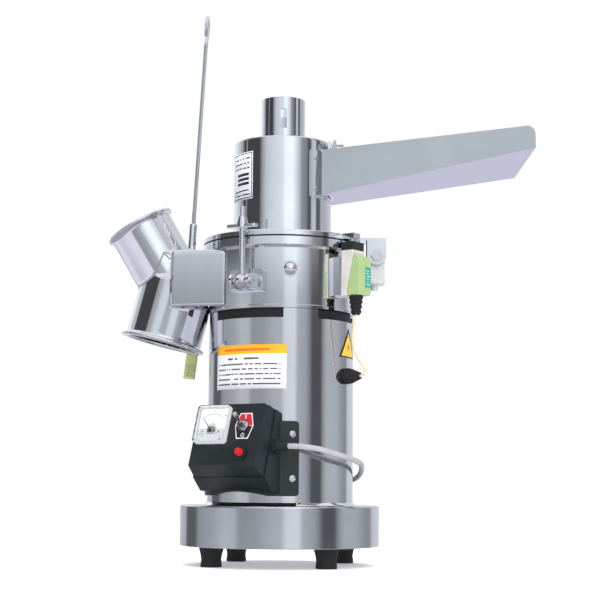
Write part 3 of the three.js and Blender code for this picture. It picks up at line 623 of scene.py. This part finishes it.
def add_triangle():
    """A plain yellow triangle with a dark edge and an orange spot, on the body's right."""
    low, high = 0.2575, 0.294
    left, right = 52.8, 81.8
    rows, columns = 16, 8
    points, faces, shares = [], [], []
    for j in range(rows + 1):
        v = j / rows
        half = (right - left) / 2 * (1 - v) + 0.4
        for i in range(columns + 1):
            u = i / columns
            azimuth = (left + right) / 2 + half * (2 * u - 1)
            points.append(around(azimuth, BODY_RADIUS + FILM, low + (high - low) * v))
            shares.append((0.5 + (u - 0.5) * (1 - v), v))
    for j in range(rows):
        for i in range(columns):
            at = j * (columns + 1) + i
            faces.append([at, at + 1, at + columns + 2, at + columns + 1])
    piece = mesh_piece("side_triangle", points, faces, "stand")
    add_uv(piece, shares)

    def triangle_print(made, u, v, paper):
        off_middle = made.math("ABSOLUTE", made.range(u, 0, 1, -1, 1))
        room = made.math("SUBTRACT", made.math("SUBTRACT", 1.0, v), off_middle)
        field = made.math("MULTIPLY", made.math("GREATER_THAN", room, 0.16),
                          made.math("GREATER_THAN", v, 0.05))
        across = made.math("POWER", made.math("MULTIPLY", made.math("SUBTRACT", u, 0.5), 1.25), 2.0)
        up = made.math("POWER", made.math("SUBTRACT", v, 0.36), 2.0)
        spot = made.math("LESS_THAN", made.math("ADD", across, up), 0.012)
        yellow = made.mix(spot, paper, (0.75, 0.2, 0.01))
        return made.mix(field, (0.02, 0.02, 0.02), yellow)

    give(piece, printed("side_triangle", (1.0, 0.62, 0.02), triangle_print))
    add_modifier(piece, "SOLIDIFY", thickness=FILM * 0.9, offset=-1.0)


# Screws and other fittings

def cross_head(name, place, radius, height, body):
    """A pan head with a cross recess, standing on the place's XY plane."""
    rings, sides = 12, 48
    points, faces = [], []
    for j in range(rings + 1):
        share = j / rings
        for i in range(sides):
            angle = 2 * math.pi * i / sides
            x, y = radius * share * math.cos(angle), radius * share * math.sin(angle)
            z = height * math.sqrt(max(0.0, 1 - 0.86 * share ** 3))
            arm = min(abs(x), abs(y)) < 0.13 * radius and share < 0.62
            points.append((x, y, z - height * 0.55 if arm else z))
    points += [(radius * math.cos(2 * math.pi * i / sides), radius * math.sin(2 * math.pi * i / sides), 0)
               for i in range(sides)]
    for j in range(rings + 1):
        for i in range(sides):
            k = (i + 1) % sides
            faces.append([j * sides + i, (j + 1) * sides + i, (j + 1) * sides + k, j * sides + k])
    piece = mesh_piece(name, points, faces, body, place=place)
    add_modifier(piece, "EDGE_SPLIT", split_angle=math.radians(40), use_edge_sharp=False)
    return give(piece, FINISHES["bright_fittings"])


def turned_piece(name, profile, place, body, finish, sides=40):
    points, faces = lathe(profile, sides)
    piece = mesh_piece(name, points, faces, body, place=place)
    add_modifier(piece, "EDGE_SPLIT", split_angle=math.radians(35), use_edge_sharp=False)
    return give(piece, finish)


def add_screws():
    flange = BODY_RADIUS + 3.3 * MM
    for side, azimuth in (("right", 9.5), ("left", -77.5)):
        for level, z in (("upper", 0.160), ("lower", 0.107)):
            cross_head(f"box_screw_{side}_{level}", facing(azimuth, flange, z), 4.4 * MM, 2.4 * MM, "stand")
    for side, azimuth in CLAMP_AZIMUTHS.items():
        for end, across in (("left", -18.4), ("right", 18.4)):
            place = facing(azimuth, 97.5 * MM, 0.3475) @ Matrix.Translation((across * MM, 0, 0))
            cross_head(f"clamp_screw_{side}_{end}", place, 3.7 * MM, 1.9 * MM, "stand")
    for side, azimuth in (("front", 40.5), ("rear", 139.5)):
        for level, z in (("upper", 0.510), ("lower", 0.470)):
            cross_head(f"tab_screw_{side}_{level}", facing(azimuth, FEED_RADIUS + 1.9 * MM, z), 3.2 * MM,
                       1.8 * MM, "lid")
    for end, (x, y) in (("low_left", (-19.6, -8.6)), ("low_right", (19.6, -8.6))):
        place = METER @ Matrix.Translation((x * MM, y * MM, 10 * MM))
        cross_head(f"meter_screw_{end}", place, 1.5 * MM, 0.5 * MM, "stand")


def add_domes():
    """The bright dome bolts on the chamber, on washers."""
    profile = [(10.2, 0), (10.2, 1.1), (9.8, 1.5), (8.5, 1.5), (8.5, 2.6), (7.8, 4.4), (6.4, 6.0), (4.5, 7.0),
               (2.4, 7.5), (0, 7.6)]
    for name, azimuth in (("front", 7.2), ("rear", 187.2)):
        turned_piece(f"dome_bolt_{name}", in_mm(profile), facing(azimuth, BODY_RADIUS - 0.2 * MM, 0.362),
                     "stand", FINISHES["bright_fittings"])


def add_painted_notch_shade():
    """A near-black ring with a fine grain inside the housing, behind the vent notches under the chamber:
    painted shade, so that the notches read dark.
    """
    low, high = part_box("upper_shield")[1].z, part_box("chamber")[0].z
    inner, outer, gap = 87.4 * MM, 88.1 * MM, 0.4 * MM
    low, high = low + gap, high - gap
    profile = [(inner, low), (outer, low), (outer, high), (inner, high), (inner, low)]
    # Near black: painted shade in the vent notches.
    finish = moulded("painted_notch_shade", (0.01, 0.01, 0.011), 0.55, 2600, 0.5)
    turned_piece("painted_notch_shade", profile, Matrix.Translation(AXIS), "stand", finish, 96)


def add_thread(name, place, radius, low, high, pitch, body):
    """A raised helix along a rod, as its screw thread."""
    steps = int((high - low) / pitch * 20)
    points = []
    for i in range(steps + 1):
        angle = 2 * math.pi * i / 20
        z = low + (high - low) * i / steps
        points.append(place @ Vector((radius * math.cos(angle), radius * math.sin(angle), z)))
    piece = poly_curve(name, points, pitch * 0.32, 1)
    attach(piece, body)
    return give(piece, FINISHES["bright_fittings"])


def add_threads():
    for side, azimuth in CLAMP_AZIMUTHS.items():
        rod = turned_frame(azimuth) @ Matrix.Translation((0, -110 * MM, 0))
        add_thread(f"bolt_thread_{side}", rod, 3.35 * MM, 0.4225, 0.4365, 1.25 * MM, f"swing_bolt_{side}")


# The ammeter's dial, the switch plate and the other printed or moulded pieces of the panel

PIVOT = (0, 3.5)  # the needle's spindle, millimetres in the meter's frame
DIAL_SWEEP = 42


def in_mm(outline):
    return [(x * MM, y * MM) for x, y in outline]


def on_dial(radius, degrees):
    """A point of the dial at a distance from the needle's spindle, at an angle from straight up."""
    angle = math.radians(degrees)
    return (PIVOT[0] + radius * math.sin(angle)) * MM, (PIVOT[1] + radius * math.cos(angle)) * MM


def add_dial():
    notch = [(7.5 * math.cos(math.radians(a)), 6.5 + 7.5 * math.sin(math.radians(a)))
             for a in range(0, 181, 12)]
    face = [(19.6, 31.6), (-19.6, 31.6), (-19.6, 6.5), *notch[::-1], (19.6, 6.5)]
    dial = plate("dial_face", in_mm(face), 3.7 * MM, 4.1 * MM, "stand", METER)
    # The dial glows a little: painted light that stands in for the light its window keeps off.
    give(dial, glowing(moulded("dial_face", (0.85, 0.86, 0.87), 0.45, 1500, 0.02, 0.03)))
    points, faces = [], []

    def quad(corners):
        start = len(points)
        points.extend((x, y, 4.14 * MM) for x, y in corners)
        faces.append([start, start + 1, start + 2, start + 3])

    steps = 40
    for i in range(steps):
        a, b = (DIAL_SWEEP * (2 * k / steps - 1) for k in (i, i + 1))
        quad([on_dial(21.2, a), on_dial(21.6, a), on_dial(21.6, b), on_dial(21.2, b)])
    for i in range(21):
        angle = DIAL_SWEEP * (i / 10 - 1)
        reach = 23.6 if i % 5 == 0 else 22.6
        wide = 0.55 if i % 5 == 0 else 0.35
        quad([on_dial(21.4, angle - wide), on_dial(reach, angle - wide), on_dial(reach, angle + wide),
              on_dial(21.4, angle + wide)])
    marks = mesh_piece("dial_marks", points, faces, "stand", smooth=False, place=METER)
    give(marks, moulded("dial_ink", (0.02, 0.02, 0.022), 0.5))
    for i, number in enumerate(("0", "5", "10", "15", "20")):
        add_number(number, on_dial(25.6, DIAL_SWEEP * (i / 2 - 1)), marks.data.materials[0])
    add_movement()


def add_number(text, at, finish):
    data = bpy.data.curves.new(f"dial_number_{text}", "FONT")
    data.body = text
    data.size = 3.0 * MM
    data.align_x = "CENTER"
    data.align_y = "CENTER"
    data.extrude = 0.02 * MM
    piece = bpy.data.objects.new(f"dial_number_{text}", data)
    bpy.context.scene.collection.objects.link(piece)
    piece.matrix_world = METER @ Matrix.Translation((at[0], at[1], 4.14 * MM))
    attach(piece, "stand")
    return give(piece, finish)


def add_movement():
    """The moulded carrier and magnet below the dial, seen through the window."""
    carrier = [(-19.6, -0.6), (19.6, -0.6), (19.6, 6.2), (-19.6, 6.2)]
    piece = plate("meter_carrier", in_mm(carrier), 3.55 * MM, 3.95 * MM, "stand", METER)
    give(piece, FINISHES["meter_case"])
    drum = [(6.4, 3.6), (6.4, 4.2), (5.8, 4.4), (2.4, 4.4), (2.2, 3.9)]
    turned_piece("meter_magnet", in_mm(drum), METER @ Matrix.Translation((PIVOT[0] * MM, PIVOT[1] * MM, 0)),
                 "stand", FINISHES["machined_steel"])
    for end, x in (("left", -12), ("right", 12)):
        place = METER @ Matrix.Translation((x * MM, 2.6 * MM, 3.9 * MM))
        cross_head(f"meter_pin_{end}", place, 2.0 * MM, 0.7 * MM, "stand")


def add_switch_plate():
    """The lever's six-sided plate: red half above, black half below, in a white border."""
    at = PANEL @ Matrix.Translation((24.5 * MM, 10.5 * MM, 0))
    border_width, half_line = 1.3, 0.35

    def corners(inset):
        """The half width of the top, the half width at the middle and the half height."""
        return 8.6 - inset * 0.8, 13.6 - inset, 16.2 - inset

    top, wide, tall = corners(0)
    border = [(-top, tall), (-wide, 0), (-top, -tall), (top, -tall), (wide, 0), (top, tall)]
    top, wide, tall = corners(border_width)
    upper = [(-top, tall), (-wide, half_line), (wide, half_line), (top, tall)]
    lower = [(-wide, -half_line), (-top, -tall), (top, -tall), (wide, -half_line)]
    layers = (("border", border, 0.04, 0.16, (0.8, 0.8, 0.8)),
              ("upper", upper, 0.16, 0.22, (0.62, 0.015, 0.02)),
              ("lower", lower, 0.16, 0.22, (0.015, 0.015, 0.017)))
    for name, outline, low, high, color in layers:
        piece = plate(f"switch_plate_{name}", in_mm(outline), low * MM, high * MM, "stand", at)
        give(piece, moulded(f"switch_plate_{name}", color, 0.3, 1500, 0.03))
    white = bpy.data.materials["switch_plate_border"]
    stroke = [(-0.9, 9.2), (0.9, 9.2), (0.9, 14), (-0.9, 14)]
    give(plate("switch_mark_on", in_mm(stroke), 0.22 * MM, 0.26 * MM, "stand", at), white)
    ring = in_mm([(2.6, 0.22), (2.6, 0.26), (1.7, 0.26), (1.7, 0.22)])
    turned_piece("switch_mark_off", ring, at @ Matrix.Translation((0, -11.6 * MM, 0)), "stand", white)


def add_switch_label():
    at = facing(SWITCH_AZIMUTH, 130.5 * MM, 0.3535)
    half_wide, half_high, centre = 5.8 * MM, 12.5 * MM, 6.2 * MM
    points = [(centre + x, y, FILM) for x, y in ((-half_wide, -half_high), (half_wide, -half_high),
                                                  (half_wide, half_high), (-half_wide, half_high))]
    piece = mesh_piece("switch_label", points, [[0, 1, 2, 3]], "stand", smooth=False, place=at)
    add_uv(piece, [(0, 0), (1, 0), (1, 1), (0, 1)])
    give(piece, printed("switch_label", (0.03, 0.32, 0.24), teal_print))
    add_modifier(piece, "SOLIDIFY", thickness=FILM * 0.9, offset=-1.0)


def add_tag():
    """A paper tag folded over the falling tube's rear rim and hanging below it."""
    top = Vector((-0.1164, 0.0425, 0.2685)) + AXIS
    wide, long = 15 * MM, 33 * MM
    rows, columns = 14, 4
    points, faces, shares = [], [], []
    for j in range(rows + 1):
        v = 1 - j / rows
        drop = long * (1 - v)
        for i in range(columns + 1):
            u = i / columns
            curl = 1.6 * MM * math.sin(math.pi * (1 - v)) + 0.8 * MM * (2 * u - 1) ** 2 * (1 - v)
            points.append(top + Vector((wide * (u - 0.5) - 0.12 * drop, curl, -drop - 1.5 * MM * (u - 0.5))))
            shares.append((u, v))
    for j in range(rows):
        for i in range(columns):
            at = j * (columns + 1) + i
            faces.append([at, at + columns + 1, at + columns + 2, at + 1])
    piece = mesh_piece("paper_tag", points, faces, "stand")
    add_uv(piece, shares)
    give(piece, printed("paper_tag", (0.62, 0.63, 0.28), tag_print))
    add_modifier(piece, "SOLIDIFY", thickness=0.3 * MM, offset=0.0)


# Weld beads of the outlet

# The two tubes: the middle of the open rim, the direction inwards from it, and the radius.
RISE_RIM, RISE_DIRECTION, RISE_RADIUS = Vector((-184, 0, 430.5)) * MM, Vector((0.5, 0, -0.866)), 41 * MM
DROP_RIM, DROP_RADIUS = Vector((-151.6, 0, 275.8)) * MM, 48.3 * MM
DROP_DIRECTION = Vector((0.2447, 0, 0.9696))
# The mouth where the outlet leaves the chamber: its near and far ends, half widths there, and its height.
MOUTH_ENDS, MOUTH_HALVES, MOUTH_HEIGHTS = (-137 * MM, -62 * MM), (50 * MM, 63 * MM), (319.5 * MM, 390.7 * MM)


def in_tube(point, rim, direction, radius, length):
    along = (point - rim).dot(direction)
    return 0 <= along <= length and (point - rim - direction * along).length < radius


def in_mouth(point):
    share = (point.x - MOUTH_ENDS[0]) / (MOUTH_ENDS[1] - MOUTH_ENDS[0])
    half = MOUTH_HALVES[0] + (MOUTH_HALVES[1] - MOUTH_HALVES[0]) * share
    return 0 < share < 1 and abs(point.y) < half and MOUTH_HEIGHTS[0] < point.z < MOUTH_HEIGHTS[1]


def bead(name, rim, direction, radius, meets):
    """The line where a tube's surface first meets its neighbours, going inwards from the rim."""
    steps, nearest, furthest, stride = 72, 12 * MM, 110 * MM, 0.4 * MM
    side = Vector((0, 1, 0))
    up = direction.cross(side)
    points = []
    for i in range(steps + 1):
        angle = 2 * math.pi * i / steps
        start = rim + (side * math.cos(angle) + up * math.sin(angle)) * radius
        distance = nearest
        while distance < furthest and not meets(start + direction * distance):
            distance += stride
        points.append(start + direction * distance + AXIS)
    piece = poly_curve(name, points, 1.1 * MM, 2)
    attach(piece, "stand")
    return give(piece, WELD)


WELD = steel("weld_bead", (0.72, 0.73, 0.75), (0.6, 0.61, 0.63), 0.2, None, 500, 0.1)


def add_beads():
    def rise_meets(point):
        return in_mouth(point) or in_tube(point, DROP_RIM, DROP_DIRECTION, DROP_RADIUS, 80 * MM)

    def drop_meets(point):
        return in_mouth(point) or in_tube(point, RISE_RIM, RISE_DIRECTION, RISE_RADIUS, 100 * MM)

    bead("rise_weld", RISE_RIM, RISE_DIRECTION, RISE_RADIUS, rise_meets)
    bead("drop_weld", DROP_RIM, DROP_DIRECTION, DROP_RADIUS, drop_meets)


def add_tie():
    """The soft band that holds the hank at its middle."""
    low, high = HANK_LOW - 3.7 * MM, HANK_LOW + HANK_PITCH * HANK_TURNS + 4.0 * MM
    half = HANK_LOOP - HANK_PINCH + 4.2 * MM
    corner = 3 * MM
    path = []
    for sign_x, sign_z, start in ((1, 1, 0), (-1, 1, 90), (-1, -1, 180), (1, -1, 270)):
        for step in range(5):
            angle = math.radians(start + 22.5 * step)
            path.append((sign_x * (half - corner) + corner * math.cos(angle),
                         (high if sign_z > 0 else low) - sign_z * corner + corner * math.sin(angle)))
    count = len(path)
    points = []
    for along in (-3.5 * MM, 3.5 * MM):
        points += [hank_point(along, across, z) for across, z in path]
    faces = [[i, (i + 1) % count, count + (i + 1) % count, count + i] for i in range(count)]
    piece = mesh_piece("hank_tie", points, faces, "stand")
    give(piece, FINISHES["black_rubber"])
    add_modifier(piece, "SOLIDIFY", thickness=0.35 * MM, offset=0.0)
    return piece


add_labels()
add_triangle()
add_screws()
add_domes()
add_painted_notch_shade()
add_threads()
add_dial()
add_switch_plate()
add_switch_label()
add_tag()
add_beads()
tie = add_tie()


# Floor and light

def add_floor():
    reach = 3.0
    mesh = bpy.data.meshes.new("floor")
    corners = [(-reach, -reach, 0), (reach, -reach, 0), (reach, reach, 0), (-reach, reach, 0)]
    mesh.from_pydata(corners, [], [[0, 1, 2, 3]])
    floor = bpy.data.objects.new("floor", mesh)
    bpy.context.scene.collection.objects.link(floor)
    give(floor, glowing(moulded("floor", (0.85, 0.85, 0.86), 0.7, 300, 0.02, 0.02)))
    floor.visible_glossy = False


# Brightness of the studio round the mill, by azimuth in degrees: soft boxes with darker gaps between. One
# row is at the height of the mill's foot, the other is further up.
STUDIO_LOW = [(-180, 0.75), (-150, 0.55), (-136, 0.5), (-131, 0.13), (-112, 0.13), (-104, 0.36), (-80, 0.45),
              (-66, 0.58), (-52, 0.56), (-46, 0.36), (-28, 0.38), (-12, 0.48), (2, 0.52), (8, 0.78),
              (22, 0.82), (27, 0.5), (40, 0.42), (46, 0.28), (51, 0.1), (66, 0.1), (70, 0.3), (78, 0.52),
              (100, 0.5), (112, 0.38), (126, 0.3), (134, 0.68), (180, 0.75)]
STUDIO_HIGH = [(-180, 1.0), (-140, 1.0), (-122, 0.7), (-108, 0.4), (-101, 0.07), (-55, 0.065), (-50, 0.3),
               (-38, 0.68), (-20, 0.82), (0, 0.92), (8, 1.2), (24, 1.25), (32, 0.95), (42, 0.6), (47, 0.35),
               (60, 0.26), (64, 0.1), (70, 0.1), (74, 0.6), (84, 0.7), (89, 0.12), (98, 0.12), (103, 0.5),
               (122, 0.55), (150, 0.7), (180, 0.9)]
STUDIO_TINT = (0.94, 1.0, 1.07)
STUDIO_TOP = (0.95, 0.95, 0.97)
STUDIO_BELOW = (0.84, 0.84, 0.96)
STUDIO_BOTTOM = (0.42, 0.42, 0.48)


def add_world():
    world = bpy.data.worlds.new("studio")
    bpy.context.scene.world = world
    world.use_nodes = True
    nodes, links = world.node_tree.nodes, world.node_tree.links

    def node(kind, inputs, **settings):
        made = nodes.new(kind)
        for name, value in settings.items():
            setattr(made, name, value)
        for socket, value in inputs.items():
            if isinstance(value, bpy.types.NodeSocket):
                links.new(value, made.inputs[socket])
            else:
                made.inputs[socket].default_value = value
        return made

    def share(value, low, high):
        return node("ShaderNodeMapRange", {"Value": value, "From Min": low, "From Max": high},
                    interpolation_type="SMOOTHSTEP").outputs["Result"]

    def blend(factor, first, second):
        return node("ShaderNodeMix", {0: factor, 6: first, 7: second}, data_type="RGBA").outputs[2]

    def ring(stops, turn):
        ramp = nodes.new("ShaderNodeValToRGB")
        links.new(turn, ramp.inputs["Fac"])
        elements = ramp.color_ramp.elements
        elements.remove(elements[1])
        for i, (azimuth, level) in enumerate(stops):
            at = (azimuth + 180) / 360
            stop = elements.new(at) if i else elements[0]
            stop.position = at
            stop.color = (*(level * tint for tint in STUDIO_TINT), 1)
        return ramp.outputs["Color"]

    split = node("ShaderNodeSeparateXYZ", {0: nodes.new("ShaderNodeTexCoord").outputs["Generated"]})
    height = split.outputs["Z"]
    back = node("ShaderNodeMath", {0: split.outputs["Y"], 1: -1.0}, operation="MULTIPLY")
    angle = node("ShaderNodeMath", {0: split.outputs["X"], 1: back.outputs[0]}, operation="ARCTAN2")
    turn = node("ShaderNodeMapRange", {"Value": angle.outputs[0], "From Min": -math.pi, "From Max": math.pi})
    low_ring, high_ring = ring(STUDIO_LOW, turn.outputs[0]), ring(STUDIO_HIGH, turn.outputs[0])
    around_it = blend(share(height, 0.125, 0.175), low_ring, high_ring)
    above = blend(share(height, 0.45, 0.75), around_it, (*STUDIO_TOP, 1))
    below = blend(share(height, -0.08, -0.15), above, (*STUDIO_BELOW, 1))
    whole = blend(share(height, -0.26, -0.42), below, (*STUDIO_BOTTOM, 1))
    studio = nodes["Background"]
    links.new(whole, studio.inputs["Color"])
    plain = node("ShaderNodeBackground", {"Color": (1, 1, 1, 1)})
    seen = nodes.new("ShaderNodeLightPath").outputs["Is Camera Ray"]
    both = node("ShaderNodeMixShader", {0: seen, 1: studio.outputs[0], 2: plain.outputs[0]})
    links.new(both.outputs[0], nodes["World Output"].inputs["Surface"])


def add_light(name, at, target, size, power):
    """A soft box that lights the mill but isn't mirrored in it."""
    data = bpy.data.lights.new(name, "AREA")
    data.shape = "RECTANGLE"
    data.size, data.size_y = size
    data.energy = power
    light = bpy.data.objects.new(name, data)
    bpy.context.scene.collection.objects.link(light)
    light.location = at
    light.rotation_mode = "QUATERNION"
    light.rotation_quaternion = (Vector(target) - Vector(at)).to_track_quat("-Z", "Y")
    light.visible_glossy = False


add_floor()
add_world()
add_light("key", (0.9, -2.4, 1.6), (0, 0, 0.3), (1.8, 1.8), 42)
add_light("top", (-0.2, 0.4, 3.0), (0, 0, 0), (3.0, 3.0), 95)
bpy.context.scene.view_settings.view_transform = "Standard"
